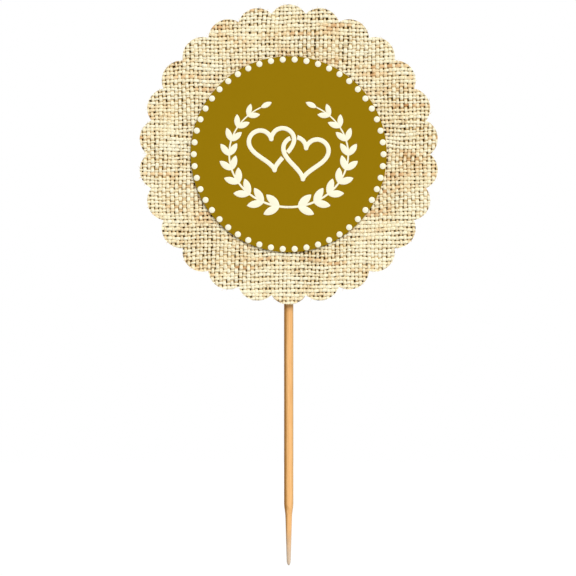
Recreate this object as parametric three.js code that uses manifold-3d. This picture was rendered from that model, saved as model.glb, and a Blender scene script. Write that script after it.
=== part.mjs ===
// A cupcake topper: a scalloped disc of woven jute on stiff card, with a round card centre that has a
// border of raised dots, on a pointed wooden pick. The pick runs up between the stiff card and a
// thinner rear card. The rear card is folded over the pick in a ridge and stuck down beside it.
//
// Millimetres. Z is up along the pick, the origin is the pick's point and the front faces -Y.
import * as THREE from "three";
import { mergeVertices } from "three/addons/utils/BufferGeometryUtils.js";
import Module from "manifold-3d";

const wasm = await Module();
wasm.setup();

// Scalloped disc
const discRadius = 31.75; // over the scallops
const scallopCount = 26;
const scallopDepth = 1.8; // from a scallop's top to the notch beside it

// Pick
const pickRadius = 1;
const pickShown = 55.4; // below the disc
const pickHeld = 46.2; // inside the disc
const shoulderHeight = 13.2; // where the full round shank begins
const shoulderLength = 3;
const neckRadius = 0.7; // below the shoulder
const pointRadius = 0.44; // where the long taper meets the rounded point
const pointLength = 1.2;
const topChamfer = 0.15;

// Layers in front of the pick, from the back
const stiffCardThickness = 0.45;
const juteBondThickness = 0.1;
const juteThickness = 0.7;
const centreTapeThickness = 0.1;
const centreCardThickness = 0.3;

// Round centre and its border
const centreRadius = 20.75;
const centreTapeInset = 1.75;
const dotCount = 50;
const dotRadius = 0.63;
const dotRise = 0.12;
const dotInset = 0.04; // from the centre card's edge

// Rear card, its ridge over the pick, and the tapes beside the ridge
const rearCardThickness = 0.3;
const rearTapeThickness = 0.1;
const rearTapeInset = 4.35; // from the disc's radius
const rearTapeGap = 0.7; // from the foot of the ridge
const ridgeFlankAngle = THREE.MathUtils.degToRad(35);
const ridgeFootRadius = 1.5;
const ridgeFadeLength = 7; // the ridge sinks away above the pick over this length

// Glue beside the pick
const pickClearance = 0.05; // round the pick
const glueSpread = 1.1; // over the card, from the pick's side
const glueToe = 0.5; // from the pick's middle line
const glueBottomInset = 3.5; // from the disc's lower edge
const glueTopInset = 1.5; // from the pick's upper end

// Facets
const scallopSteps = 10;
const roundSteps = 96;
const pickSteps = 24;
const dotSteps = 10;
const dotRings = 3;
const curveSteps = 4;
const fadeSteps = 8;
const cutOvershoot = 2; // a solid that is cut, or that cuts, runs this far past the other
const dotRoot = 0.1; // a dot's foot is sunk this far into its card before they are joined

// Distances in front of the pick's middle, to the back of each layer
const stiffCardBack = pickRadius + pickClearance;
const juteBondBack = stiffCardBack + stiffCardThickness;
const juteBack = juteBondBack + juteBondThickness;
const centreTapeBack = juteBack + juteThickness;
const centreCardBack = centreTapeBack + centreTapeThickness;
const rearTapeBack = stiffCardBack - rearTapeThickness;

// Heights: the disc's middle above the point, and the pick's upper end above the disc's middle
const discHeight = pickShown + discRadius;
const pickLength = pickShown + pickHeld;
const pickEnd = pickHeld - discRadius;

// The ridge wraps the pick, falls in a straight flank and flares out in a foot. Its two arcs have these
// middles: the crest's is the pick's, and the foot's is footX to the side and footY behind it.
const crestRadius = pickRadius + pickClearance;
const footY = ridgeFootRadius - rearTapeBack;
const flankFall = (crestRadius + ridgeFootRadius) * Math.cos(ridgeFlankAngle) - footY;
const footX =
  (crestRadius + ridgeFootRadius) * Math.sin(ridgeFlankAngle) + flankFall / Math.tan(ridgeFlankAngle);

const mustardCard = new THREE.MeshStandardMaterial({ color: 0x98780a, roughness: 0.75, metalness: 0 });
const kraftCard = new THREE.MeshStandardMaterial({ color: 0xb8956a, roughness: 0.9, metalness: 0 });
const greyCard = new THREE.MeshStandardMaterial({ color: 0xa59a86, roughness: 0.9, metalness: 0 });
const jute = new THREE.MeshStandardMaterial({ color: 0xe6d6ae, roughness: 0.95, metalness: 0 });
const wood = new THREE.MeshStandardMaterial({ color: 0xedb877, roughness: 0.6, metalness: 0 });
const tape = new THREE.MeshStandardMaterial({ color: 0xf2ecdc, roughness: 0.4, metalness: 0 });
const bondFilm = new THREE.MeshStandardMaterial({ color: 0xe3d9bd, roughness: 0.5, metalness: 0 });
const hotGlue = new THREE.MeshStandardMaterial({ color: 0xe9dfc4, roughness: 0.3, metalness: 0 });

// A closed geometry as a solid that can be joined and cut.
function solidOf(geometry) {
  const bare = geometry.clone();
  bare.deleteAttribute("normal");
  bare.deleteAttribute("uv");
  const merged = mergeVertices(bare, 1e-5);
  const mesh = new wasm.Mesh({
    numProp: 3,
    vertProperties: merged.attributes.position.array,
    triVerts: new Uint32Array(merged.index.array),
  });
  return new wasm.Manifold(mesh);
}

function geometryOf(solid) {
  const mesh = solid.getMesh();
  const geometry = new THREE.BufferGeometry();
  geometry.setAttribute("position", new THREE.BufferAttribute(mesh.vertProperties, 3));
  geometry.setIndex(new THREE.BufferAttribute(mesh.triVerts, 1));
  geometry.computeVertexNormals();
  return geometry;
}

function named(name, geometry, material) {
  const mesh = new THREE.Mesh(geometry, material);
  mesh.name = name;
  return mesh;
}

function extruded(shape, depth, curveSegments) {
  return new THREE.ExtrudeGeometry(shape, { depth, curveSegments, bevelEnabled: false });
}

// One arc for each scallop, through its top and the notches beside it. Each arc gets two points
// for each curve segment.
function scalloped(depth) {
  const halfPitch = Math.PI / scallopCount;
  const notchRadius = discRadius - scallopDepth;
  const halfChord = notchRadius * Math.sin(halfPitch);
  const arcHeight = discRadius - notchRadius * Math.cos(halfPitch);
  const arcRadius = (halfChord ** 2 + arcHeight ** 2) / (2 * arcHeight);
  const halfArc = Math.atan2(halfChord, arcRadius - arcHeight);
  const reach = discRadius - arcRadius;
  const outline = new THREE.Shape();
  for (let k = 0; k < scallopCount; k++) {
    const towards = Math.PI / 2 + 2 * halfPitch * k;
    const x = reach * Math.cos(towards);
    const y = reach * Math.sin(towards);
    outline.absarc(x, y, arcRadius, towards - halfArc, towards + halfArc);
  }
  return extruded(outline, depth, scallopSteps / 2);
}

function disc(radius, depth) {
  const outline = new THREE.Shape().absarc(0, 0, radius, 0, 2 * Math.PI);
  return extruded(outline, depth, roundSteps / 2);
}

// A low dome with a straight foot, standing on XY.
function dot() {
  const domeRadius = (dotRadius ** 2 + dotRise ** 2) / (2 * dotRise);
  const halfAngle = Math.asin(dotRadius / domeRadius);
  const profile = [new THREE.Vector2(0, -dotRoot), new THREE.Vector2(dotRadius, -dotRoot)];
  for (let k = 0; k < dotRings; k++) {
    const angle = halfAngle * (1 - k / dotRings);
    const height = dotRise - domeRadius * (1 - Math.cos(angle));
    profile.push(new THREE.Vector2(domeRadius * Math.sin(angle), height));
  }
  profile.push(new THREE.Vector2(0, dotRise));
  return new THREE.LatheGeometry(profile, dotSteps).rotateX(Math.PI / 2);
}

// The centre card, with its dots standing on the front. A dot lies on the line to each side.
function centreCard() {
  const circleRadius = centreRadius - dotInset - dotRadius;
  let card = solidOf(disc(centreRadius, centreCardThickness));
  for (let k = 0; k < dotCount; k++) {
    const angle = (2 * Math.PI * k) / dotCount;
    const placed = dot();
    placed.translate(circleRadius * Math.cos(angle), circleRadius * Math.sin(angle), centreCardThickness);
    card = card.add(solidOf(placed));
  }
  return geometryOf(card);
}

// A D of tape, to the right for a side of 1 and to the left for a side of -1.
function rearTape(side) {
  const radius = discRadius - rearTapeInset;
  const halfAngle = Math.acos((footX + rearTapeGap) / radius);
  const towards = side > 0 ? 0 : Math.PI;
  const outline = new THREE.Shape();
  outline.absarc(0, 0, radius, towards - halfAngle, towards + halfAngle);
  return extruded(outline, rearTapeThickness, roundSteps / 4);
}

// The pick's outline from its point up: a rounded point, a long slight taper, a shoulder and the shank.
function pick() {
  const neckHeight = shoulderHeight - shoulderLength;
  const outline = new THREE.Path();
  outline.absellipse(0, pointLength, pointRadius, pointLength, -Math.PI / 2, 0);
  outline.lineTo(neckRadius, neckHeight);
  const bend = shoulderLength / 2;
  outline.bezierCurveTo(
    neckRadius, neckHeight + bend, pickRadius, shoulderHeight - bend, pickRadius, shoulderHeight);
  outline.lineTo(pickRadius, pickLength - topChamfer);
  outline.lineTo(pickRadius - topChamfer, pickLength);
  outline.lineTo(0, pickLength);
  const points = outline.getPoints(curveSteps);
  points[0].x = 0;
  return new THREE.LatheGeometry(points, pickSteps).rotateX(Math.PI / 2);
}

// A bead fills the corner between the pick and the stiff card, with a hollow face. Its section is
// drawn in XY with the pick's middle as the origin.
function glueBead(side) {
  const innerRadius = pickRadius + pickClearance;
  const outline = new THREE.Shape();
  outline.moveTo(glueToe, -stiffCardBack);
  outline.lineTo(innerRadius + glueSpread, -stiffCardBack);
  outline.quadraticCurveTo(innerRadius, -stiffCardBack, innerRadius, 0);
  outline.absarc(0, 0, innerRadius, 0, -Math.acos(glueToe / innerRadius), true);
  const section = outline.getPoints(curveSteps).map((point) => new THREE.Vector2(side * point.x, point.y));
  const bottom = glueBottomInset - discRadius;
  const top = pickEnd - glueTopInset;
  return extruded(new THREE.Shape(section), top - bottom).translate(0, 0, bottom);
}

// The line of the rear card across the ridge, from left to right, for the face that lies this far
// behind the card's front. All such lines are parallel.
function ridgeLine(behind) {
  const crest = crestRadius + behind;
  const foot = ridgeFootRadius - behind;
  const down = -Math.PI / 2;
  const up = Math.PI / 2;
  const bends = new THREE.Path();
  bends.absarc(-footX, footY, foot, down, down + ridgeFlankAngle);
  bends.absarc(0, 0, crest, up + ridgeFlankAngle, up - ridgeFlankAngle, true);
  bends.absarc(footX, footY, foot, down - ridgeFlankAngle, down);
  const edge = discRadius + cutOvershoot;
  const leftEnd = new THREE.Vector2(-edge, footY - foot);
  const rightEnd = new THREE.Vector2(edge, footY - foot);
  return [leftEnd, ...bends.getPoints(curveSteps), rightEnd];
}

// A closed solid through level rings of points, each anticlockwise from above and with as many points.
function loft(rings) {
  const size = rings[0].length;
  const last = (rings.length - 1) * size;
  const index = [];
  for (let start = 0; start < last; start += size) {
    for (let i = 0; i < size; i++) {
      const a = start + i;
      const b = start + ((i + 1) % size);
      index.push(a, b, b + size, a, b + size, a + size);
    }
  }
  for (const [a, b, c] of THREE.ShapeUtils.triangulateShape(rings[0], [])) {
    index.push(c, b, a, last + a, last + b, last + c);
  }
  const geometry = new THREE.BufferGeometry().setFromPoints(rings.flat());
  geometry.setIndex(index);
  return geometry;
}

// The rear card: a folded sheet whose ridge keeps its full height up to the pick's end and then sinks
// into the flat, cut to the scalloped outline.
function rearCard() {
  const frontLine = ridgeLine(0);
  const backLine = ridgeLine(rearCardThickness).reverse();
  const flatten = (line, rise, height) => {
    const flat = line[0].y;
    return line.map((point) => new THREE.Vector3(point.x, flat + rise * (point.y - flat), height));
  };
  const ring = (rise, height) => [
    ...flatten(frontLine, rise, height),
    ...flatten(backLine, rise, height),
  ];
  const fadeStart = pickEnd + pickClearance;
  const fadeEnd = fadeStart + ridgeFadeLength;
  const rings = [ring(1, -discRadius - cutOvershoot)];
  for (let k = 0; k <= fadeSteps; k++) {
    const share = k / fadeSteps;
    rings.push(ring((1 + Math.cos(Math.PI * share)) / 2, fadeStart + ridgeFadeLength * share));
  }
  rings.push(ring(0, Math.max(fadeEnd, discRadius) + cutOvershoot));
  const deepest = crestRadius + rearCardThickness + cutOvershoot;
  const cutter = scalloped(deepest + stiffCardBack).translate(0, 0, -deepest).rotateX(Math.PI / 2);
  return geometryOf(solidOf(loft(rings)).intersect(solidOf(cutter)));
}

// The layers in front of the pick are drawn facing +Z and turned to face -Y. A layer's place is the
// distance from the pick's middle to its back.
const faceStack = new THREE.Group();
faceStack.rotation.x = Math.PI / 2;
const layers = [
  [named("centre_card", centreCard(), mustardCard), centreCardBack],
  [named("centre_tape", disc(centreRadius - centreTapeInset, centreTapeThickness), tape), centreTapeBack],
  [named("jute_face", scalloped(juteThickness), jute), juteBack],
  [named("jute_bond", scalloped(juteBondThickness), bondFilm), juteBondBack],
  [named("stiff_card", scalloped(stiffCardThickness), greyCard), stiffCardBack],
  [named("rear_tape_left", rearTape(-1), tape), rearTapeBack],
  [named("rear_tape_right", rearTape(1), tape), rearTapeBack],
];
for (const [layer, back] of layers) {
  layer.position.z = back;
  faceStack.add(layer);
}

const head = new THREE.Group();
head.position.z = discHeight;
head.add(faceStack);
head.add(named("glue_bead_left", glueBead(-1), hotGlue));
head.add(named("glue_bead_right", glueBead(1), hotGlue));
head.add(named("rear_card", rearCard(), kraftCard));

const topper = new THREE.Group();
topper.add(head);
topper.add(named("pick", pick(), wood));

export default topper;
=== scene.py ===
"""The looks of a cupcake topper: woven jute, card, raised ink, glue and a wooden pick.

Metres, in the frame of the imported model. The head's pieces are drawn flat in the disc's own frame,
with X to the right, Y up, Z towards the viewer and the disc's middle as the origin, and then turned to
stand on the pick.
"""

import math
import random

import bmesh
import bpy
from mathutils import Matrix, Vector, noise


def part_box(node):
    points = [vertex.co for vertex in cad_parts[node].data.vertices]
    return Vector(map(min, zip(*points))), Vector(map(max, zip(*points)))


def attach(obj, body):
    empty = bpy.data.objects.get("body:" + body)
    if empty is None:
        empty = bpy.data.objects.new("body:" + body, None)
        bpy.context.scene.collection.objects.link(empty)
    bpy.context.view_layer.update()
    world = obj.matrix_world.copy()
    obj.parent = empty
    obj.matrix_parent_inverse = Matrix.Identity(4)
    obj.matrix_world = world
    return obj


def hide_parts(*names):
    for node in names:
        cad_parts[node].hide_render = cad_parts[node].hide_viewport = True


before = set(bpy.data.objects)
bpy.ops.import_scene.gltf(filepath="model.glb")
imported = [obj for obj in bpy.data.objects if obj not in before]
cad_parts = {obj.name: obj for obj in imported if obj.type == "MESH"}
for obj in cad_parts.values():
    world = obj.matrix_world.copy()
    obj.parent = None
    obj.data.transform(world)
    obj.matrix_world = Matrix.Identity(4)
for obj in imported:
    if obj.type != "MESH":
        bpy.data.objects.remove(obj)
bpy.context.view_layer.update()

MM = 0.001

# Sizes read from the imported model
jute_low, jute_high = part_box("jute_face")
card_low, card_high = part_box("centre_card")
stiff_low, stiff_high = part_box("stiff_card")
pick_low, pick_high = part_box("pick")
tape_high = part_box("rear_tape_right")[1]

DISC_RADIUS = (jute_high.z - jute_low.z) / 2
DISC_HEIGHT = (jute_high.z + jute_low.z) / 2
JUTE_BACK = -jute_high.y
JUTE_FRONT = -jute_low.y
STIFF_BACK = -stiff_high.y
STIFF_THICKNESS = stiff_high.y - stiff_low.y
CENTRE_RADIUS = (card_high.x - card_low.x) / 2
CENTRE_BACK = -card_high.y
PICK_LENGTH = pick_high.z
PICK_RADIUS = (pick_high.y - pick_low.y) / 2
PICK_END = PICK_LENGTH - DISC_HEIGHT
REAR_FRONT = -tape_high.y

# Scalloped outline
SCALLOPS = 26
SCALLOP_DEPTH = 1.8 * MM
SCALLOP_STEPS = 22

# Cloth: the weave
YARN_PITCH = 0.85 * MM
WARP_HALF_WIDTH = 0.32 * MM
WEFT_HALF_WIDTH = 0.255 * MM
YARN_HALF_HEIGHT = 0.185 * MM
YARN_SHOULDER = 0.55
YARN_WAVE = 0.155 * MM
YARN_SAMPLES = 4
YARN_HIDDEN_RADIUS = CENTRE_RADIUS - 1.2 * MM
YARN_OVERSHOOT = 0.5 * MM
GROUND_THICKNESS = 0.08 * MM

# Cloth: how far yarns lie out of place
WARP_STRAY = 0.25 * MM
WEFT_STRAY = 0.38 * MM
YARN_SWING = 0.026 * MM
SWING_SPREAD = 1.6

# Cloth: what unevenness adds to a yarn's thickness, 1 when even, and to its tint, from pale 0 to tan 1
WARP_THICKNESS = {"slow": 0.20, "quick": 0.26, "whole": 0.16, "patch": 0.17, "pressed": 0.30}
WEFT_THICKNESS = {"slow": 0.30, "quick": 0.30, "whole": 0.20, "patch": 0.20, "pressed": -0.70}
WARP_TINT = {"slow": -0.25, "whole": 0.20, "warmth": 0.42}
WEFT_TINT = {"stretch": -0.65, "quick": -0.20, "whole": 0.40, "warmth": 0.42}
WARP_EVEN_TINT, WEFT_EVEN_TINT = 0.14, 0.24
SLIMMEST = 0.58
WARP_WIDEST, WEFT_WIDEST = 1.24, 1.35

# Cloth: loose fibres
HAIR_RADIUS = 0.024 * MM
HAIR_POINTS = 7
SURFACE_HAIRS = 460
HAIRS_FROM_CENTRE = 0.8 * MM
HAIRS_FROM_EDGE = 3.2 * MM
EDGE_HAIRS = 240
EDGE_HAIR_INSET = 0.35 * MM

# Centre
CARD_THICKNESS = 0.3 * MM
CARD_RIM = 0.05 * MM
DOTS = 50
DOT_RADIUS = 0.63 * MM
DOT_RISE = 0.12 * MM
DOT_INSET = 0.04 * MM
INK_RISE = 0.05 * MM
HEART_WIDTH = 9.6 * MM
HEART_LINE = 0.46 * MM
HEART_GAP = 0.26 * MM
HEART_LEAN = math.radians(6)
HEART_SHIFT = 3.45 * MM
HEART_DROP = 0.95 * MM
HEART_STEPS = 240
HEART_CLOSEST = 0.05 * MM
STEM_LINE = 0.24 * MM
WREATH_WIDTH = 12.6 * MM
WREATH_HEIGHT = 11.2 * MM
LEAF_PAIRS = 9
LEAF_LENGTH = 3.9 * MM
LEAF_HALF_WIDTH = 0.85 * MM
LEAF_LEAN = math.radians(34)

# Cards behind the cloth
STIFF_RIM = 0.04 * MM
REAR_THICKNESS = 0.3 * MM
CREST_RADIUS = 1.05 * MM
FOOT_RADIUS = 1.5 * MM
FLANK_ANGLE = math.radians(35)
END_CLEARANCE = 0.05 * MM
FADE_LENGTH = 7 * MM

# Pick
POINT_RADIUS = 0.44 * MM
POINT_LENGTH = 1.2 * MM
NECK_RADIUS = 0.7 * MM
NECK_HEIGHT = 10.2 * MM
SHOULDER_HEIGHT = 13.2 * MM
PICK_CHAMFER = 0.15 * MM
PICK_UNEVENNESS = 0.012

# Studio
FLOOR_RADIUS = 0.5
FLOOR_WHITE_FROM = 0.15
FLOOR_WHITE_BY = 0.40
LENS = 250

# Photograph: its size and the disc's place in it, in pixels, and a pixel's size at the disc's front
PHOTO_PIXELS = 576
DISC_PIXELS = 300
DISC_MIDDLE = (288.7, 154.3)
PIXEL = 2 * DISC_RADIUS / DISC_PIXELS

# Jute, from bleached to raw
PALE = (1.0, 0.99, 0.80)
CREAM = (1.0, 0.945, 0.69)
STRAW = (0.90, 0.69, 0.41)
TAN = (0.66, 0.36, 0.16)

WHITE = (1.0, 1.0, 1.0)

head_place = Matrix.Translation((0, 0, DISC_HEIGHT)) @ Matrix.Rotation(math.radians(90), 4, "X")
ink_place = head_place @ Matrix.Translation((0, 0, CENTRE_BACK + CARD_THICKNESS))


def feed(tree, socket, value):
    """Gives an input its value, or links it to the socket that feeds it."""
    if isinstance(value, bpy.types.NodeSocket):
        tree.links.new(value, socket)
    else:
        socket.default_value = value


def node(tree, kind, inputs=None, **settings):
    """A shader node. An input is given a value, or the socket that feeds it."""
    made = tree.nodes.new("ShaderNode" + kind)
    for name, value in settings.items():
        setattr(made, name, value)
    for name, value in (inputs or {}).items():
        feed(tree, made.inputs[name], value)
    return made


def maths(tree, operation, *values):
    """The result of one sum. Each value is a number or a socket."""
    made = node(tree, "Math", operation=operation)
    for socket, value in zip(made.inputs, values):
        feed(tree, socket, value)
    return made.outputs[0]


def ramp(tree, mask, stops):
    """A colour ramp. A stop is (place, colour)."""
    made = node(tree, "ValToRGB", {"Fac": mask})
    elements = made.color_ramp.elements
    while len(elements) < len(stops):
        elements.new(0.5)
    for element, (place, colour) in zip(elements, stops):
        element.position = place
        element.color = (*colour, 1)
    return made.outputs["Color"]


def mixed(tree, mask, first, second, blend="MIX"):
    """A mix of two colours, each a socket or three numbers."""
    made = node(tree, "Mix", data_type="RGBA", blend_type=blend)
    sockets = made.inputs[0], made.inputs[6], made.inputs[7]
    for socket, value in zip(sockets, (mask, first, second)):
        feed(tree, socket, (*value, 1) if isinstance(value, tuple) else value)
    return made.outputs[2]


def multiplied(tree, first, second):
    return mixed(tree, 1.0, first, second, "MULTIPLY")


def group_tree(name, inputs, outputs):
    """An empty node group, with the nodes that hold its inputs and its outputs."""
    tree = bpy.data.node_groups.new(name, "ShaderNodeTree")
    for socket, kind, value in inputs:
        made = tree.interface.new_socket(socket, in_out="INPUT", socket_type="NodeSocket" + kind)
        if value is not None:
            made.default_value = value
    for socket, kind in outputs:
        tree.interface.new_socket(socket, in_out="OUTPUT", socket_type="NodeSocket" + kind)
    return tree, tree.nodes.new("NodeGroupInput").outputs, tree.nodes.new("NodeGroupOutput").inputs


def placed_group(tree, group, inputs):
    """A node group placed in a material, with its own values. Returns its outputs."""
    made = tree.nodes.new("ShaderNodeGroup")
    made.node_tree = group
    for name, value in inputs.items():
        feed(tree, made.inputs[name], value)
    return made.outputs


def make_strands():
    """Fine strands that lie along Y: a mask from dark gaps at 0 to lit strands at 1."""
    tree, given, out = group_tree(
        "strands",
        [("Vector", "Vector", None), ("Width", "Float", 0.05), ("Length", "Float", 1.0),
         ("Lean", "Float", 0.0), ("Detail", "Float", 2.0)],
        [("Mask", "Float")],
    )
    place = node(tree, "SeparateXYZ", {"Vector": given["Vector"]}).outputs
    leaning = maths(tree, "MULTIPLY_ADD", place["Y"], given["Lean"], place["X"])
    drawn = node(tree, "CombineXYZ", {
        "X": maths(tree, "DIVIDE", leaning, given["Width"]),
        "Y": maths(tree, "DIVIDE", place["Y"], given["Length"]),
        "Z": maths(tree, "DIVIDE", place["Z"], given["Width"])})
    grain = node(tree, "TexNoise", {
        "Vector": drawn.outputs[0], "Scale": 1.0, "Detail": given["Detail"], "Roughness": 0.6})
    spread = node(tree, "MapRange", {"Value": grain.outputs[0], "From Min": 0.3, "From Max": 0.7})
    tree.links.new(spread.outputs[0], out["Mask"])
    return tree


def make_card_stock():
    """Card stock: pressed fibres as a height, and a cloudy mask for its colour."""
    tree, given, out = group_tree(
        "card_stock",
        [("Vector", "Vector", None), ("Fibre", "Float", 0.12), ("Cloud", "Float", 6.0)],
        [("Height", "Float"), ("Cloud", "Float")],
    )
    fine, coarse = (
        node(tree, "VectorMath", {
            0: given["Vector"], "Scale": maths(tree, "DIVIDE", 1.0, given[size])}, operation="SCALE")
        for size in ("Fibre", "Cloud"))
    felt = node(tree, "TexNoise", {
        "Vector": fine.outputs[0], "Scale": 1.0, "Detail": 4.0, "Distortion": 0.6})
    patch = node(tree, "TexNoise", {"Vector": coarse.outputs[0], "Scale": 1.0, "Detail": 3.0})
    tree.links.new(felt.outputs[0], out["Height"])
    tree.links.new(patch.outputs[0], out["Cloud"])
    return tree


def make_flecks():
    """Loose, bent fibres that lie every way in the XY plane: a mask with 1 on a fibre."""
    tree, given, out = group_tree(
        "fibre_flecks",
        [("Vector", "Vector", None), ("Length", "Float", 1.5), ("Share", "Float", 0.15),
         ("Seed", "Float", 0.0)],
        [("Mask", "Float")],
    )
    slimness, reach, seed_step = 12.0, 0.34, 7.0
    bends = node(tree, "TexNoise", {"Vector": given["Vector"], "Scale": 0.8, "Detail": 1.0})
    bent = node(tree, "VectorMath", {
        0: bends.outputs["Color"], 1: (1.1, 1.1, 0.0), 2: given["Vector"]}, operation="MULTIPLY_ADD")
    mask = None
    for turn in (0.2, 0.9, 1.5, 2.1, 2.8):
        rotated = node(
            tree, "VectorRotate", {"Vector": bent.outputs[0], "Angle": turn}, rotation_type="Z_AXIS")
        place = node(tree, "SeparateXYZ", {"Vector": rotated.outputs[0]}).outputs
        along = maths(tree, "DIVIDE", place["X"], given["Length"])
        across = maths(tree, "MULTIPLY", maths(tree, "DIVIDE", place["Y"], given["Length"]), slimness)
        layer = maths(tree, "ADD", given["Seed"], seed_step * turn)
        drawn = node(tree, "CombineXYZ", {"X": along, "Y": across, "Z": layer})
        cells = node(tree, "TexVoronoi", {"Vector": drawn.outputs[0], "Scale": 1.0})
        near = maths(tree, "LESS_THAN", cells.outputs["Distance"], reach)
        chance = node(tree, "SeparateColor", {"Color": cells.outputs["Color"]}).outputs[0]
        found = maths(tree, "MULTIPLY", near, maths(tree, "LESS_THAN", chance, given["Share"]))
        mask = found if mask is None else maths(tree, "MAXIMUM", mask, found)
    tree.links.new(mask, out["Mask"])
    return tree


strands = make_strands()
card_stock = make_card_stock()
fibre_flecks = make_flecks()


def new_material(name, **settings):
    """A material, its tree, its Principled node and the object's place in millimetres."""
    material = bpy.data.materials.new(name)
    material.use_nodes = True
    tree = material.node_tree
    shader = tree.nodes["Principled BSDF"]
    for socket, value in settings.items():
        shader.inputs[socket.replace("_", " ")].default_value = value
    place = node(tree, "TexCoord").outputs["Object"]
    scaled = node(tree, "VectorMath", {0: place, "Scale": 1 / MM}, operation="SCALE")
    return material, tree, shader, scaled.outputs[0]


def bump(tree, shader, height, strength, distance):
    """Gives the surface this relief."""
    made = node(tree, "Bump", {"Height": height, "Strength": strength, "Distance": distance})
    tree.links.new(made.outputs[0], shader.inputs["Normal"])


def turned(tree, vector, order):
    """The place with its axes in another order, such as "XZY"."""
    place = node(tree, "SeparateXYZ", {"Vector": vector}).outputs
    return node(tree, "CombineXYZ", dict(zip("XYZ", (place[axis] for axis in order)))).outputs[0]


def yarn_material(name, order, shaded_height, dip_shade_colour):
    """Jute yarn, with painted shade: browner where it dips below this height over the cloth's back, and
    darker in the gaps between its strands.

    The order names the axes that run across it, along it and into it.
    """
    material, tree, shader, place = new_material(name, Roughness=0.9, Specular_IOR_Level=0.15)
    along = turned(tree, place, order)
    tint = node(tree, "Attribute", attribute_name="tint").outputs["Fac"]
    fibres = placed_group(
        tree, strands, {"Vector": along, "Width": 0.10, "Length": 1.6, "Lean": 0.45, "Detail": 4.0})
    colour = ramp(tree, tint, [(0.0, PALE), (0.35, CREAM), (0.65, STRAW), (1.0, TAN)])
    # Painted shade in the gaps between the strands, over the fibres' own uneven colour.
    strand_gap_shade = mixed(tree, fibres["Mask"], (0.80, 0.71, 0.58), WHITE)
    # Painted shade: the yarn turns browner where it dips low under the crossing yarns.
    low, high = shaded_height - 0.14 * MM, shaded_height + 0.12 * MM
    lifted = node(tree, "MapRange", {
        "Value": node(tree, "SeparateXYZ", {"Vector": place}).outputs["Y"],
        "From Min": -(JUTE_BACK + low) / MM, "From Max": -(JUTE_BACK + high) / MM})
    painted_dip_shade = mixed(tree, lifted.outputs[0], dip_shade_colour, WHITE)
    shaded = multiplied(tree, multiplied(tree, colour, strand_gap_shade), painted_dip_shade)
    tree.links.new(shaded, shader.inputs["Base Color"])
    bump(tree, shader, fibres["Mask"], strength=0.7, distance=0.05 * MM)
    return material


def card_material(name, colour, dark, fibre=0.12, strength=0.25, **settings):
    """Card that is dyed through, with a faint cloud of a darker colour."""
    material, tree, shader, place = new_material(name, Specular_IOR_Level=0.05, **settings)
    stock = placed_group(tree, card_stock, {"Vector": place, "Fibre": fibre, "Cloud": 5.0})
    tree.links.new(mixed(tree, stock["Cloud"], dark, colour), shader.inputs["Base Color"])
    bump(tree, shader, stock["Height"], strength, distance=0.02 * MM)
    return material


def kraft_board(name, colour, dark, fleck):
    """Unbleached card: a cloudy base with loose fibres, some darker and some paler."""
    material, tree, shader, place = new_material(name, Roughness=0.88, Specular_IOR_Level=0.12)
    stock = placed_group(tree, card_stock, {"Vector": place, "Fibre": 0.22, "Cloud": 4.0})
    base = mixed(tree, stock["Cloud"], dark, colour)
    paper = turned(tree, place, "XZY")
    dark_fibres = placed_group(
        tree, fibre_flecks, {"Vector": paper, "Length": 1.3, "Share": 0.04})
    pale_fibres = placed_group(
        tree, fibre_flecks, {"Vector": paper, "Length": 1.0, "Share": 0.07, "Seed": 31.0})
    pale = tuple(min(1.0, 1.2 * c) for c in colour)
    flecked = mixed(tree, pale_fibres["Mask"], base, pale)
    flecked = mixed(tree, dark_fibres["Mask"], flecked, fleck)
    tree.links.new(flecked, shader.inputs["Base Color"])
    height = maths(tree, "ADD", stock["Height"], dark_fibres["Mask"])
    bump(tree, shader, height, strength=0.35, distance=0.02 * MM)
    return material


def wood_material():
    """Turned wood: long grain and pores, painted shade down its left side and on its right edge, and a
    sanded point.
    """
    material, tree, shader, place = new_material("pick_wood", Roughness=0.6, Specular_IOR_Level=0.25)
    along = turned(tree, place, "XZY")
    grain = placed_group(tree, strands, {"Vector": along, "Width": 0.16, "Length": 16.0, "Detail": 3.0})
    pores = placed_group(tree, strands, {"Vector": along, "Width": 0.05, "Length": 3.5, "Detail": 2.0})
    colour = ramp(tree, grain["Mask"], [
        (0.0, (0.66, 0.36, 0.135)), (0.35, (0.86, 0.49, 0.19)),
        (0.8, (0.92, 0.54, 0.235)), (1.0, (0.95, 0.60, 0.29))])
    pored = mixed(tree, pores["Mask"], (0.84, 0.76, 0.66), WHITE)
    where = node(tree, "SeparateXYZ", {"Vector": place}).outputs
    # Painted shade, fixed to the wood: browner down the left side and duller at the right edge, as light
    # falls across the round pick.
    wavering = maths(tree, "MULTIPLY_ADD", grain["Mask"], 0.16, where["X"])
    left = node(tree, "MapRange", {
        "Value": wavering, "From Min": -0.52, "From Max": -0.16}, interpolation_type="SMOOTHSTEP")
    right = node(tree, "MapRange", {
        "Value": wavering, "From Min": 1.05, "From Max": 0.55}, interpolation_type="SMOOTHSTEP")
    painted_shade_left_side = mixed(tree, left.outputs[0], (0.56, 0.465, 0.24), WHITE)
    painted_shade_right_edge = mixed(tree, right.outputs[0], (0.80, 0.82, 0.78), WHITE)
    streaked = multiplied(
        tree, multiplied(tree, colour, pored), multiplied(tree, painted_shade_left_side, painted_shade_right_edge))
    ragged = maths(tree, "MULTIPLY_ADD", pores["Mask"], 3.0, where["Z"])
    sanded = node(tree, "MapRange", {
        "Value": ragged, "From Min": 10.5, "From Max": 2.0}, interpolation_type="SMOOTHSTEP")
    bare = mixed(tree, pores["Mask"], (0.50, 0.36, 0.235), (0.78, 0.63, 0.48))
    tree.links.new(mixed(tree, sanded.outputs[0], streaked, bare), shader.inputs["Base Color"])
    bump(tree, shader, pores["Mask"], strength=0.35, distance=0.03 * MM)
    return material


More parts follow.
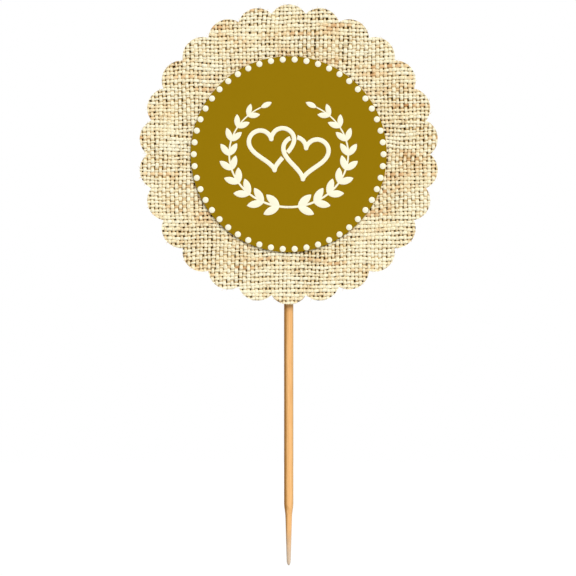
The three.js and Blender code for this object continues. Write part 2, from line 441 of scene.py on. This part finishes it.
def plain_material(name, colour, **settings):
    """Ink, tape, film or glue, a little uneven in colour and surface."""
    material, tree, shader, place = new_material(name, **settings)
    stock = placed_group(tree, card_stock, {"Vector": place, "Fibre": 0.4, "Cloud": 2.0})
    dark = tuple(0.9 * c for c in colour)
    tree.links.new(mixed(tree, stock["Cloud"], dark, colour), shader.inputs["Base Color"])
    bump(tree, shader, stock["Height"], strength=0.15, distance=0.05 * MM)
    return material


warp_material = yarn_material(
    "jute_warp_yarn", order="XZY", shaded_height=0.55 * MM, dip_shade_colour=(0.62, 0.41, 0.165))
weft_material = yarn_material(
    "jute_weft_yarn", order="ZXY", shaded_height=0.47 * MM, dip_shade_colour=(0.44, 0.28, 0.085))
# Painted shade: the ground in the holes is near-black brown, far darker than the backing behind, for the
# shade that falls in the holes.
hole_shade_ground_material = card_material(
    "jute_hole_shade", (0.10, 0.055, 0.012), dark=(0.06, 0.033, 0.007), fibre=0.25, Roughness=0.9)
mustard_material = card_material(
    "mustard_card", (0.274, 0.1635, 0.001), dark=(0.264, 0.157, 0.0005), strength=0.3, Roughness=0.8)
kraft_material = kraft_board(
    "kraft_card", (0.53, 0.34, 0.17), dark=(0.44, 0.275, 0.13), fleck=(0.31, 0.18, 0.08))
board_material = kraft_board(
    "stiff_board", (0.66, 0.57, 0.42), dark=(0.58, 0.49, 0.35), fleck=(0.48, 0.37, 0.23))
ink_material = plain_material("cream_ink", (0.91, 0.87, 0.665), Roughness=0.5, Specular_IOR_Level=0.3)
tape_material = plain_material("tape", (0.85, 0.80, 0.68), Roughness=0.35)
bond_material = plain_material("bond_film", (0.50, 0.40, 0.24), Roughness=0.5)
glue_material = plain_material("hot_glue", (0.82, 0.72, 0.50), Roughness=0.25, Transmission_Weight=0.35)
pick_material = wood_material()


def finish_piece(name, mesh, material, replaced=(), place=None, sharp=None):
    """Places a mesh for good, gives it its material and hangs it on the topper."""
    if place is not None:
        mesh.transform(place)
    mesh.name = name
    piece = bpy.data.objects.new(name, mesh)
    bpy.context.scene.collection.objects.link(piece)
    mesh.materials.clear()
    mesh.materials.append(material)
    if sharp is not None:
        mesh.shade_smooth()
        mesh.set_sharp_from_angle(angle=math.radians(sharp))
    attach(piece, "root")
    if replaced:
        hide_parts(*replaced)
    return piece


def finish_ink(name, mesh):
    """Finishes a piece of raised ink, which is drawn about the height of the card's front."""
    return finish_piece(name, mesh, ink_material, ["centre_card"], ink_place, sharp=60)


def mesh_of(bm, name="piece"):
    mesh = bpy.data.meshes.new(name)
    bm.to_mesh(mesh)
    bm.free()
    return mesh


def opened(mesh):
    """A bmesh to work on, from a mesh."""
    bm = bmesh.new()
    bm.from_mesh(mesh)
    return bm


def evaluated_mesh(obj):
    """The mesh of a curve, or of a piece with its modifiers."""
    graph = bpy.context.evaluated_depsgraph_get()
    return bpy.data.meshes.new_from_object(obj.evaluated_get(graph))


def curve_mesh(curve):
    """The mesh of a curve that has its own thickness."""
    source = bpy.data.objects.new(curve.name, curve)
    bpy.context.scene.collection.objects.link(source)
    mesh = evaluated_mesh(source)
    bpy.data.objects.remove(source)
    return mesh


def scallop_arc():
    """The radius of a scallop's arc, and half of the angle that the arc turns through."""
    half_pitch = math.pi / SCALLOPS
    notch_radius = DISC_RADIUS - SCALLOP_DEPTH
    half_chord = notch_radius * math.sin(half_pitch)
    arc_height = DISC_RADIUS - notch_radius * math.cos(half_pitch)
    arc_radius = (half_chord**2 + arc_height**2) / (2 * arc_height)
    return arc_radius, math.atan2(half_chord, arc_radius - arc_height)


def outline_place(scallop, turn, inset):
    """A place inside the outline of one scallop, and the way out from it. The turn is along its arc."""
    arc_radius = scallop_arc()[0]
    out = Vector((math.sin(turn), math.cos(turn)))
    place = Vector((0, DISC_RADIUS - arc_radius)) + (arc_radius - inset) * out
    round_disc = Matrix.Rotation(2 * math.pi * scallop / SCALLOPS, 2)
    return round_disc @ place, round_disc @ out


def scalloped_face(bm, back):
    """One flat face with the scalloped outline, drawn at this height."""
    arc_radius, half_arc = scallop_arc()
    start, _ = outline_place(0, half_arc, 0)
    bmesh.ops.spin(
        bm, geom=[bm.verts.new((start.x, start.y, back))], cent=(0, DISC_RADIUS - arc_radius, back),
        axis=(0, 0, 1), angle=2 * half_arc, steps=SCALLOP_STEPS)
    bmesh.ops.spin(
        bm, geom=bm.verts[:] + bm.edges[:], cent=(0, 0, back), axis=(0, 0, 1),
        angle=2 * math.pi * (SCALLOPS - 1) / SCALLOPS, steps=SCALLOPS - 1, use_duplicate=True)
    bmesh.ops.remove_doubles(bm, verts=bm.verts, dist=0.005 * MM)
    return bmesh.ops.contextual_create(bm, geom=bm.edges[:])["faces"][0]


def raise_face(bm, face, height):
    """Gives a flat face its thickness, upwards."""
    lifted = bmesh.ops.extrude_face_region(bm, geom=[face], use_keep_orig=True)["geom"]
    moved = [v for v in lifted if isinstance(v, bmesh.types.BMVert)]
    bmesh.ops.translate(bm, verts=moved, vec=(0, 0, height))
    bmesh.ops.recalc_face_normals(bm, faces=bm.faces)


def bevel_rims(bm, offset):
    """Rounds the edges between the flat faces and the sides, and keeps the flats flat beside them."""
    steep, outline_verts = math.radians(60), 100
    rims = [e for e in bm.edges if e.is_manifold and e.calc_face_angle(0) > steep]
    bmesh.ops.bevel(
        bm, geom=rims, offset=offset, offset_type="OFFSET", segments=2, profile=0.5,
        affect="EDGES", material=-1)
    flats = [f for f in bm.faces if len(f.verts) > outline_verts]
    bmesh.ops.inset_region(bm, faces=flats, thickness=2 * offset, use_even_offset=True)


def scalloped_slab(back, thickness, rim=0.0):
    """A flat scalloped layer, from its back's height up. Its rims may be rounded."""
    bm = bmesh.new()
    raise_face(bm, scalloped_face(bm, back), thickness)
    if rim:
        bevel_rims(bm, rim)
    return mesh_of(bm)


def yarn_spans(offset):
    """The stretches of a yarn at this distance from the disc's middle that show beside the centre."""
    if abs(offset) >= DISC_RADIUS:
        return []
    reach = math.sqrt(DISC_RADIUS**2 - offset**2) + YARN_OVERSHOOT
    if abs(offset) >= YARN_HIDDEN_RADIUS:
        return [(-reach, reach)]
    hidden = math.sqrt(YARN_HIDDEN_RADIUS**2 - offset**2)
    return [(-reach, -hidden), (hidden, reach)]


def wander(*place):
    """Smooth noise, from about -1 to 1 and the same on each run. Numbers at the end pick a pattern."""
    return noise.noise(Vector(place))


def pull(x, y):
    """How far the finished cloth is pulled out of square at one place."""
    broad_x, broad_y = x / (11 * MM), y / (11 * MM)
    close_x, close_y = x / (3.5 * MM), y / (3.5 * MM)
    across = 0.40 * wander(broad_x, broad_y, 2.3) + 0.12 * wander(close_x, close_y, 7.9)
    up = 0.44 * wander(broad_x, broad_y, 5.1) + 0.14 * wander(close_x, close_y, 9.7)
    return across * MM, up * MM


def stray(number, along, upright):
    """How far a yarn lies to one side of its place in an even weave."""
    reach, seed = (WARP_STRAY, 3.3) if upright else (WEFT_STRAY, 41.7)
    return reach * (
        0.75 * wander(along / (5 * MM), number * 3.1, seed)
        + 0.35 * wander(along / (1.7 * MM), number * 5.7, seed))


def swing(x, y):
    """How far a yarn swings aside between two crossings, which makes every other hole wide."""
    return YARN_SWING * max(0.0, 1 + SWING_SPREAD * wander(x / (4.5 * MM), y / (4.5 * MM), 19.7))


def yarn_look(number, along, upright):
    """The thickness and tint of a yarn at one place. Weft is less even, with long tan stretches."""
    seed = 13.9 if upright else 57.1
    across = number * YARN_PITCH
    x, y = (across, along) if upright else (along, across)
    unevenness = {
        "slow": wander(along / (4 * MM), number * 3.7, seed),
        "quick": wander(along / (1.4 * MM), number * 5.3, seed),
        "stretch": wander(along / (7 * MM), number * 3.7, seed),
        "whole": wander(number * 1.37, seed, 0.5),
        "patch": wander(along / (12 * MM), across / (9 * MM), seed),
        "pressed": wander(x / (6.5 * MM), y / (6.5 * MM), 64.1),
        "warmth": wander(x / (7 * MM), y / (1.8 * MM), 88.3),
    }
    if upright:
        widest, thickness, tint, even_tint = WARP_WIDEST, WARP_THICKNESS, WARP_TINT, WARP_EVEN_TINT
    else:
        widest, thickness, tint, even_tint = WEFT_WIDEST, WEFT_THICKNESS, WEFT_TINT, WEFT_EVEN_TINT
    thick = 1.0 + sum(share * unevenness[name] for name, share in thickness.items())
    tanned = even_tint + sum(share * unevenness[name] for name, share in tint.items())
    return min(widest, max(SLIMMEST, thick)), min(1.0, max(0.0, tanned))


def yarn_path(number, upright, first, last):
    """The places of a yarn's middle line, as (x, y, height, thickness)."""
    even = 1 if number % 2 == 0 else -1
    over = even if upright else -even
    across = number * YARN_PITCH
    for sample in range(first, last + 1):
        turn, part = divmod(sample, YARN_SAMPLES)
        part /= YARN_SAMPLES
        here = stray(turn, across, not upright)
        ahead = stray(turn + 1, across, not upright) if part else 0.0
        along = (turn + part) * YARN_PITCH + here * (1 - part) + ahead * part
        side = across + stray(number, along, upright)
        x, y = (side, along) if upright else (along, side)
        phase = math.pi * sample / YARN_SAMPLES
        side -= even * math.sin(phase) * swing(x, y)
        x, y = (side, along) if upright else (along, side)
        pull_x, pull_y = pull(x, y)
        height = over * YARN_WAVE * math.cos(phase)
        yield x + pull_x, y + pull_y, height, yarn_look(number, along, upright)[0]


def closed_section(name, outline):
    """A flat closed curve for a swept curve to carry."""
    curve = bpy.data.curves.new(name, "CURVE")
    curve.dimensions = "2D"
    ring = curve.splines.new("POLY")
    ring.points.add(len(outline) - 1)
    for point, (x, y) in zip(ring.points, outline):
        point.co = (x, y, 0, 1)
    ring.use_cyclic_u = True
    return bpy.data.objects.new(name, curve)


def yarn_section(half_width):
    """The eight-sided section of a pressed yarn, broader than it is high."""
    corners = [(1, YARN_SHOULDER), (YARN_SHOULDER, 1), (-YARN_SHOULDER, 1), (-1, YARN_SHOULDER)]
    corners += [(-x, -y) for x, y in corners]
    return closed_section("yarn_section", [(half_width * x, YARN_HALF_HEIGHT * y) for x, y in corners])


def swept_curve(name, section):
    """An empty curve that is swept with a section, level and closed at its ends."""
    curve = bpy.data.curves.new(name, "CURVE")
    curve.dimensions = "3D"
    curve.twist_mode = "Z_UP"
    curve.bevel_mode = "OBJECT"
    curve.bevel_object = section
    curve.use_fill_caps = True
    return curve


def swept_mesh(curve):
    """The closed mesh of a swept curve, whose section is used up."""
    bm = opened(curve_mesh(curve))
    bpy.data.objects.remove(curve.bevel_object)
    bmesh.ops.remove_doubles(bm, verts=bm.verts, dist=0.0005 * MM)
    bmesh.ops.recalc_face_normals(bm, faces=bm.faces)
    return mesh_of(bm, curve.name)


def woven_yarns(name, half_width, upright):
    """All the yarns that run one way, over and under the others."""
    curve = swept_curve(name, yarn_section(half_width))
    middle = (JUTE_BACK + JUTE_FRONT) / 2
    step = YARN_PITCH / YARN_SAMPLES
    count = math.ceil(DISC_RADIUS / YARN_PITCH)
    for number in range(-count, count + 1):
        for low, high in yarn_spans(number * YARN_PITCH):
            first, last = math.floor(low / step), math.ceil(high / step)
            if last - first < 2 * YARN_SAMPLES:
                continue
            spline = curve.splines.new("POLY")
            spline.points.add(last - first)
            path = yarn_path(number, upright, first, last)
            for point, (x, y, height, thickness) in zip(spline.points, path):
                point.co = (x, y, middle + height, 1)
                point.radius = thickness
    return swept_mesh(curve)


def tint_yarns(mesh, upright):
    """Stores the tint of the yarn that each point belongs to, for the material."""
    tints = mesh.attributes.new("tint", "FLOAT", "POINT").data
    for vert, tint in zip(mesh.vertices, tints):
        x, y, _ = vert.co
        pull_x, pull_y = pull(x, y)
        side, along = (x - pull_x, y - pull_y) if upright else (y - pull_y, x - pull_x)
        nearest = round(side / YARN_PITCH)
        number = min(
            (nearest - 1, nearest, nearest + 1),
            key=lambda n: abs(n * YARN_PITCH + stray(n, along, upright) - side))
        tint.value = yarn_look(number, along, upright)[1]


def cut_to_scallops(mesh):
    """The part of a mesh inside the scalloped outline, as a clean cut."""
    tall = 4 * MM
    cutter = bpy.data.objects.new("cutter", scalloped_slab(JUTE_BACK - tall / 2, tall))
    blank = bpy.data.objects.new("blank", mesh)
    for obj in (cutter, blank):
        bpy.context.scene.collection.objects.link(obj)
    cut = blank.modifiers.new("cut", "BOOLEAN")
    cut.operation = "INTERSECT"
    cut.solver = "MANIFOLD"
    cut.object = cutter
    bm = opened(evaluated_mesh(blank))
    bpy.data.objects.remove(cutter)
    bpy.data.objects.remove(blank)
    bmesh.ops.dissolve_degenerate(bm, dist=0.0005 * MM, edges=bm.edges)
    return mesh_of(bm, mesh.name)


def make_yarns(name, half_width, upright, material):
    """All the yarns that run one way, as one piece of the cloth."""
    mesh = cut_to_scallops(woven_yarns(name, half_width, upright))
    tint_yarns(mesh, upright)
    return finish_piece(name, mesh, material, ["jute_face"], head_place, sharp=50)


def make_cloth():
    """The jute: its yarns, a dark ground in its holes, and its loose fibres. The ground's near-black brown
    is painted shade for the holes, over the backing's brown.
    """
    warp = make_yarns("jute_warp", WARP_HALF_WIDTH, True, warp_material)
    weft = make_yarns("jute_weft", WEFT_HALF_WIDTH, False, weft_material)
    ground = finish_piece(
        "jute_ground", scalloped_slab(JUTE_BACK, GROUND_THICKNESS), hole_shade_ground_material,
        ["jute_face"], head_place)
    hairs = make_hairs()


def add_hair(curve, draw, start, heading, length, lift):
    """One loose fibre: it leaves the cloth's front, bends and comes back to it."""
    steps = HAIR_POINTS - 1
    spline = curve.splines.new("POLY")
    spline.points.add(steps)
    place = Vector(start)
    bend = draw.uniform(-0.35, 0.35)
    for k, point in enumerate(spline.points):
        share = k / steps
        point.co = (place.x, place.y, JUTE_FRONT + lift * math.sin(math.pi * share), 1)
        point.radius = 1.1 - 0.5 * share
        heading += bend
        place += Vector((math.cos(heading), math.sin(heading))) * length / steps


def make_hairs():
    """Loose fibres that lie on the cloth and stand out a little at its cut edge."""
    draw = random.Random(26)
    curve = bpy.data.curves.new("hairs", "CURVE")
    curve.dimensions = "3D"
    curve.bevel_depth = HAIR_RADIUS
    curve.bevel_resolution = 0
    curve.use_fill_caps = True
    for _ in range(SURFACE_HAIRS):
        around = draw.uniform(0, 2 * math.pi)
        out = draw.uniform(CENTRE_RADIUS + HAIRS_FROM_CENTRE, DISC_RADIUS - HAIRS_FROM_EDGE)
        start = out * Vector((math.cos(around), math.sin(around)))
        add_hair(
            curve, draw, start, heading=draw.uniform(0, 2 * math.pi),
            length=draw.uniform(0.8, 2.6) * MM, lift=draw.uniform(0.02, 0.20) * MM)
    half_arc = scallop_arc()[1]
    for _ in range(EDGE_HAIRS):
        turn = draw.uniform(-half_arc, half_arc)
        start, out = outline_place(draw.randrange(SCALLOPS), turn, EDGE_HAIR_INSET)
        add_hair(
            curve, draw, start, heading=math.atan2(out.y, out.x) + draw.uniform(-1.0, 1.0),
            length=draw.uniform(0.45, 1.0) * MM, lift=draw.uniform(-0.35, 0.05) * MM)
    mesh = curve_mesh(curve)
    tints = mesh.attributes.new("tint", "FLOAT", "POINT").data
    for vert, tint in zip(mesh.vertices, tints):
        tint.value = 0.45 + 0.5 * wander(vert.co.x / (1.5 * MM), vert.co.y / (1.5 * MM), 71.3)
    return finish_piece("jute_hairs", mesh, weft_material, ["jute_face"], head_place, sharp=80)


def make_centre():
    """The round card, with its rims a little rounded."""
    bm = bmesh.new()
    face = bmesh.ops.create_circle(bm, cap_ends=True, radius=CENTRE_RADIUS, segments=160)
    bmesh.ops.translate(bm, verts=face["verts"], vec=(0, 0, CENTRE_BACK))
    raise_face(bm, bm.faces[:][0], CARD_THICKNESS)
    bevel_rims(bm, CARD_RIM)
    finish_piece(
        "centre_disc", mesh_of(bm), mustard_material, ["centre_card"], head_place, sharp=40)


def make_dots():
    """Low domes of ink, the same shape all round the border."""
    dome_radius = (DOT_RADIUS**2 + DOT_RISE**2) / (2 * DOT_RISE)
    half_angle = math.asin(DOT_RADIUS / dome_radius)
    front = CENTRE_BACK + CARD_THICKNESS
    circle_radius = CENTRE_RADIUS - DOT_INSET - DOT_RADIUS
    bm = bmesh.new()
    top = bm.verts.new((0, 0, front + DOT_RISE))
    bmesh.ops.spin(
        bm, geom=[top], cent=(0, 0, front + DOT_RISE - dome_radius), axis=(0, 1, 0),
        angle=half_angle, steps=5)
    bmesh.ops.spin(
        bm, geom=bm.verts[:] + bm.edges[:], cent=(0, 0, 0), axis=(0, 0, 1),
        angle=2 * math.pi, steps=28, use_merge=True)
    bmesh.ops.remove_doubles(bm, verts=bm.verts, dist=0.001 * MM)
    bmesh.ops.contextual_create(bm, geom=[e for e in bm.edges if e.is_boundary])
    bmesh.ops.recalc_face_normals(bm, faces=bm.faces)
    bmesh.ops.translate(bm, verts=bm.verts, vec=(circle_radius, 0, 0))
    bmesh.ops.spin(
        bm, geom=bm.verts[:] + bm.edges[:] + bm.faces[:], cent=(0, 0, 0), axis=(0, 0, 1),
        angle=2 * math.pi * (DOTS - 1) / DOTS, steps=DOTS - 1, use_duplicate=True)
    finish_piece(
        "border_dots", mesh_of(bm), ink_material, ["centre_card"], head_place, sharp=40)


def ink_section():
    """The low round-topped section of a line of ink, one unit wide from its middle."""
    sides = 12
    angles = [2 * math.pi * k / sides for k in range(sides)]
    return closed_section(
        "ink_section", [(math.cos(a), INK_RISE / HEART_LINE * math.sin(a)) for a in angles])


def ink_line(curve, points, half_width, taper=0.0):
    """A line of raised ink through these points. Its far end may be thinner."""
    spline = curve.splines.new("POLY")
    spline.points.add(len(points) - 1)
    for k, (point, (x, y)) in enumerate(zip(spline.points, points)):
        point.co = (x, y, 0, 1)
        point.radius = half_width * (1 - taper * k / len(points))


def heart_place(side, t):
    """A place on the right heart (1) or the left one (-1). Its cleft is at 0 and its tip at pi.

    The curve is the usual heart of sines and cosines, 32 units wide and lifted to its middle.
    """
    middle = Vector((side * HEART_SHIFT, -side * HEART_DROP))
    turn = Matrix.Rotation(-side * HEART_LEAN, 2)
    x = 16 * math.sin(t) ** 3
    y = 13 * math.cos(t) - 5 * math.cos(2 * t) - 2 * math.cos(3 * t) - math.cos(4 * t) + 2.5
    return middle + turn @ Vector((x, y)) * HEART_WIDTH / 32


def heart_outline(side):
    """The places round a heart, without those that crowd together at its cleft and its tip."""
    places = [heart_place(side, 0)]
    for k in range(1, HEART_STEPS):
        place = heart_place(side, 2 * math.pi * k / HEART_STEPS)
        if (place - places[-1]).length > HEART_CLOSEST:
            places.append(place)
    return places


def make_heart(side):
    """One heart, broken where the other passes over it: the right one above, the left one below."""
    outline, other = heart_outline(side), heart_outline(-side)
    count = len(outline)
    level = sum(place.y for place in outline + other) / (count + len(other))
    half = [place for place in outline if (place.y > level) == (side > 0)]
    crossing = min(half, key=lambda place: min((place - passed).length for passed in other))
    kept = [(place - crossing).length > HEART_LINE + HEART_GAP for place in outline]
    start = next(k for k in range(count) if kept[k] and not kept[k - 1])
    line = [outline[(start + k) % count] for k in range(sum(kept))]
    name = "heart_right" if side > 0 else "heart_left"
    curve = swept_curve(name, ink_section())
    ink_line(curve, line, HEART_LINE)
    bm = opened(swept_mesh(curve))
    drop_of_ink = Matrix.Diagonal((HEART_LINE, HEART_LINE, INK_RISE, 1))
    for cusp in (0, math.pi):
        x, y = heart_place(side, cusp)
        bmesh.ops.create_uvsphere(
            bm, u_segments=24, v_segments=12, radius=1,
            matrix=Matrix.Translation((x, y, 0)) @ drop_of_ink)
    finish_ink(name, mesh_of(bm))


def sprig_place(share, side):
    """A place on one sprig of the wreath, from its foot to its tip, and the way it runs there."""
    start, end = math.radians(-97), math.radians(62)
    angle = start + (end - start) * share
    x, y = WREATH_WIDTH * math.cos(angle), WREATH_HEIGHT * math.sin(angle)
    heading = math.atan2(WREATH_HEIGHT * math.cos(angle), -WREATH_WIDTH * math.sin(angle))
    if side < 0:
        return Vector((-x, y)), math.pi - heading
    return Vector((x, y)), heading


def add_leaf(bm, foot, heading, size):
    """A low leaf, pointed at both ends, that grows from its foot."""
    upright_to_level = Matrix.Rotation(math.radians(90), 4, "Y")
    verts = bmesh.ops.create_uvsphere(
        bm, u_segments=12, v_segments=12, radius=1, matrix=upright_to_level)["verts"]
    for vert in verts:
        slim = max(0.0, 1 - vert.co.x**2) ** 0.35
        vert.co = Vector((
            LEAF_LENGTH * size * (vert.co.x + 1) / 2,
            LEAF_HALF_WIDTH * size * vert.co.y * slim,
            INK_RISE * vert.co.z,
        ))
    turn = Matrix.Translation((foot.x, foot.y, 0)) @ Matrix.Rotation(heading, 4, "Z")
    bmesh.ops.transform(bm, matrix=turn, verts=verts)


def make_wreath():
    """Two sprigs that meet at the foot, with a leaf at each tip and pairs of leaves below it."""
    stem_steps, first_leaf, shrinking = 40, 0.10, 0.35
    stems = swept_curve("sprig_stems", ink_section())
    leaves = bmesh.new()
    for side in (1, -1):
        stem = [sprig_place(k / stem_steps, side)[0] for k in range(stem_steps + 1)]
        ink_line(stems, stem, STEM_LINE, taper=0.45)
        for k in range(LEAF_PAIRS + 1):
            share = first_leaf + (1 - first_leaf) * k / LEAF_PAIRS
            foot, heading = sprig_place(share, side)
            size = 1 - shrinking * share
            leans = (0,) if k == LEAF_PAIRS else (LEAF_LEAN, -LEAF_LEAN)
            for lean in leans:
                add_leaf(leaves, foot, heading + lean, size)
    finish_ink("sprig_stems", swept_mesh(stems))
    finish_ink("sprig_leaves", mesh_of(leaves))


def make_stiff_card():
    """The board behind the cloth, whose edge shows from the side."""
    finish_piece(
        "stiff_board", scalloped_slab(STIFF_BACK, STIFF_THICKNESS, rim=STIFF_RIM), board_material,
        ["stiff_card"], head_place, sharp=40)


def ridge_height(across, up):
    """How far the rear card's front stands behind its flat, over the pick and past its end."""
    foot_height = FOOT_RADIUS - REAR_FRONT
    reach = CREST_RADIUS + FOOT_RADIUS
    fall = reach * math.cos(FLANK_ANGLE) - foot_height
    foot_side = reach * math.sin(FLANK_ANGLE) + fall / math.tan(FLANK_ANGLE)
    side = abs(across)
    if side >= foot_side:
        return 0.0
    crest_side = CREST_RADIUS * math.sin(FLANK_ANGLE)
    flare_side = foot_side - FOOT_RADIUS * math.sin(FLANK_ANGLE)
    if side <= crest_side:
        height = REAR_FRONT + math.sqrt(CREST_RADIUS**2 - side**2)
    elif side <= flare_side:
        crest_height = REAR_FRONT + CREST_RADIUS * math.cos(FLANK_ANGLE)
        height = crest_height - (side - crest_side) * math.tan(FLANK_ANGLE)
    else:
        height = FOOT_RADIUS - math.sqrt(FOOT_RADIUS**2 - (foot_side - side)**2)
    past = min(1.0, max(0.0, (up - PICK_END - END_CLEARANCE) / FADE_LENGTH))
    return height * (1 + math.cos(math.pi * past)) / 2


def cut_along(bm, place, across):
    """Adds edges where a plane passes through the mesh."""
    everything = bm.verts[:] + bm.edges[:] + bm.faces[:]
    bmesh.ops.bisect_plane(bm, geom=everything, plane_co=place, plane_no=across)


def make_rear_card():
    """The rear cover: cut up where the ridge bends, pushed out over the pick, and thickened."""
    column_step, row_step, fade_rows = 0.18 * MM, 2.5 * MM, 14
    bm = bmesh.new()
    scalloped_face(bm, REAR_FRONT)
    columns = [k * column_step for k in range(-21, 22)]
    rows = [PICK_END + FADE_LENGTH * k / fade_rows for k in range(fade_rows + 1)]
    rows += [k * row_step for k in range(-12, 6)]
    for place in columns:
        cut_along(bm, (place, 0, 0), (1, 0, 0))
    for place in rows:
        cut_along(bm, (0, place, 0), (0, 1, 0))
    bmesh.ops.remove_doubles(bm, verts=bm.verts, dist=0.005 * MM)
    for vert in bm.verts:
        vert.co.z -= ridge_height(vert.co.x, vert.co.y)
    bmesh.ops.recalc_face_normals(bm, faces=bm.faces)
    front = sum((f.normal for f in bm.faces), Vector())
    if front.z < 0:
        bmesh.ops.reverse_faces(bm, faces=bm.faces)
    bmesh.ops.solidify(bm, geom=bm.faces[:], thickness=REAR_THICKNESS)
    finish_piece("rear_cover", mesh_of(bm), kraft_material, ["rear_card"], head_place, sharp=40)


def make_pick():
    """The pick: a rounded point, a long taper, a shoulder and a shank, a little uneven."""
    rings, shank_rings = 8, 40
    profile = [
        (POINT_RADIUS * math.sin(a), POINT_LENGTH * (1 - math.cos(a)))
        for a in (math.pi / 2 * k / rings for k in range(rings + 1))
    ]
    for k in range(1, rings + 1):
        share = k / rings
        profile.append((POINT_RADIUS + (NECK_RADIUS - POINT_RADIUS) * share,
                        POINT_LENGTH + (NECK_HEIGHT - POINT_LENGTH) * share))
    for k in range(1, rings + 1):
        share = k / rings
        ease = share * share * (3 - 2 * share)
        profile.append((NECK_RADIUS + (PICK_RADIUS - NECK_RADIUS) * ease,
                        NECK_HEIGHT + (SHOULDER_HEIGHT - NECK_HEIGHT) * share))
    shank = PICK_LENGTH - PICK_CHAMFER - SHOULDER_HEIGHT
    profile += [(PICK_RADIUS, SHOULDER_HEIGHT + shank * k / shank_rings) for k in range(1, shank_rings + 1)]
    profile += [(PICK_RADIUS - PICK_CHAMFER, PICK_LENGTH), (0, PICK_LENGTH)]
    bm = bmesh.new()
    line = [bm.verts.new((r, 0, z)) for r, z in profile]
    edges = [bm.edges.new(pair) for pair in zip(line, line[1:])]
    bmesh.ops.spin(
        bm, geom=line + edges, cent=(0, 0, 0), axis=(0, 0, 1), angle=2 * math.pi, steps=48, use_merge=True)
    bmesh.ops.remove_doubles(bm, verts=bm.verts, dist=0.001 * MM)
    for vert in bm.verts:
        around = Vector((vert.co.x, vert.co.y, 0))
        if around.length > 0.1 * MM:
            rough = wander(around.x / MM * 1.6, around.y / MM * 1.6, vert.co.z / (14 * MM))
            vert.co -= around * PICK_UNEVENNESS * (1 + rough)
    bmesh.ops.recalc_face_normals(bm, faces=bm.faces)
    finish_piece("wooden_pick", mesh_of(bm), pick_material, ["pick"], sharp=40)


def dress_cad_nodes():
    """The thin inner pieces keep their solids and get their finish."""
    finishes = {
        "jute_bond": bond_material,
        "centre_tape": tape_material,
        "rear_tape_left": tape_material,
        "rear_tape_right": tape_material,
        "glue_bead_left": glue_material,
        "glue_bead_right": glue_material,
    }
    for name, material in finishes.items():
        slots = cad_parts[name].data.materials
        slots.clear()
        slots.append(material)


def seen_rays(tree):
    """1 for the rays that show a thing itself, and 0 for those that light other things."""
    rays = node(tree, "LightPath").outputs
    mirrored = maths(tree, "MAXIMUM", rays["Is Glossy Ray"], rays["Is Transmission Ray"])
    return maths(tree, "MAXIMUM", rays["Is Camera Ray"], mirrored)


def make_floor():
    """A white floor that keeps the object's shadow near it and goes over into the background."""
    bm = bmesh.new()
    bmesh.ops.create_circle(bm, cap_ends=True, radius=FLOOR_RADIUS, segments=96)
    mesh = mesh_of(bm, "floor")
    floor = bpy.data.objects.new("floor", mesh)
    bpy.context.scene.collection.objects.link(floor)
    material = bpy.data.materials.new("floor_white")
    material.use_nodes = True
    tree = material.node_tree
    tree.nodes.clear()
    matt = node(tree, "BsdfDiffuse", {"Color": (0.5, 0.5, 0.5, 1)})
    lit = node(tree, "Emission", {"Color": (1, 1, 1, 1), "Strength": 1.08})
    place = node(tree, "TexCoord").outputs["Object"]
    out_from_pick = node(tree, "VectorMath", {0: place}, operation="LENGTH").outputs["Value"]
    white = node(tree, "MapRange", {
        "Value": out_from_pick, "From Min": FLOOR_WHITE_FROM, "From Max": FLOOR_WHITE_BY,
        "To Min": 0.88, "To Max": 1.0})
    share = maths(tree, "MULTIPLY", seen_rays(tree), white.outputs[0])
    both = node(tree, "MixShader", {0: share, 1: matt.outputs[0], 2: lit.outputs[0]})
    node(tree, "OutputMaterial", {"Surface": both.outputs[0]})
    mesh.materials.append(material)


def make_world():
    """A soft white room that shows as pure white behind the object."""
    world = bpy.data.worlds.new("studio")
    bpy.context.scene.world = world
    world.use_nodes = True
    tree = world.node_tree
    tree.nodes.clear()
    soft = node(tree, "Background", {"Color": (1, 1, 1, 1), "Strength": 0.38})
    white = node(tree, "Background", {"Color": (1, 1, 1, 1), "Strength": 1.0})
    both = node(tree, "MixShader", {0: seen_rays(tree), 1: soft.outputs[0], 2: white.outputs[0]})
    node(tree, "OutputWorld", {"Surface": both.outputs[0]})


def softbox(name, place, size, power, target):
    """A round lamp of this width in metres and power in watts, turned to its target."""
    light = bpy.data.lights.new(name, "AREA")
    light.shape = "DISK"
    light.size = size
    light.energy = power
    lamp = bpy.data.objects.new(name, light)
    bpy.context.scene.collection.objects.link(lamp)
    lamp.location = place
    lamp.rotation_euler = (Vector(target) - Vector(place)).to_track_quat("-Z", "Y").to_euler()


def make_lights():
    """One broad lamp in front, and a smaller one behind for the views of the back."""
    target = (0, 0, 0.075)
    softbox("key", (1.04, -2.235, 1.80), size=2.0, power=92.5, target=target)
    softbox("rear_key", (-0.45, 1.28, 0.90), size=0.7, power=17, target=target)


def make_camera():
    """A long lens, level, at the distance that gives the photograph's width at the disc's front."""
    data = bpy.data.cameras.new("camera")
    data.lens = LENS
    data.clip_start, data.clip_end = 0.05, 20
    camera = bpy.data.objects.new("camera", data)
    bpy.context.scene.collection.objects.link(camera)
    width = PHOTO_PIXELS * PIXEL
    distance = width / data.sensor_width * data.lens
    right = (PHOTO_PIXELS / 2 - DISC_MIDDLE[0]) * PIXEL
    down = (PHOTO_PIXELS / 2 - DISC_MIDDLE[1]) * PIXEL
    camera.location = (right, -JUTE_FRONT - distance, DISC_HEIGHT - down)
    camera.rotation_euler = (math.radians(90), 0, 0)
    bpy.context.scene.camera = camera


make_camera()
make_lights()
make_world()
make_floor()
make_cloth()
make_stiff_card()
make_rear_card()
make_centre()
make_dots()
make_wreath()
for side in (-1, 1):
    make_heart(side)
make_pick()
dress_cad_nodes()

bpy.context.scene.view_settings.view_transform = "Standard"
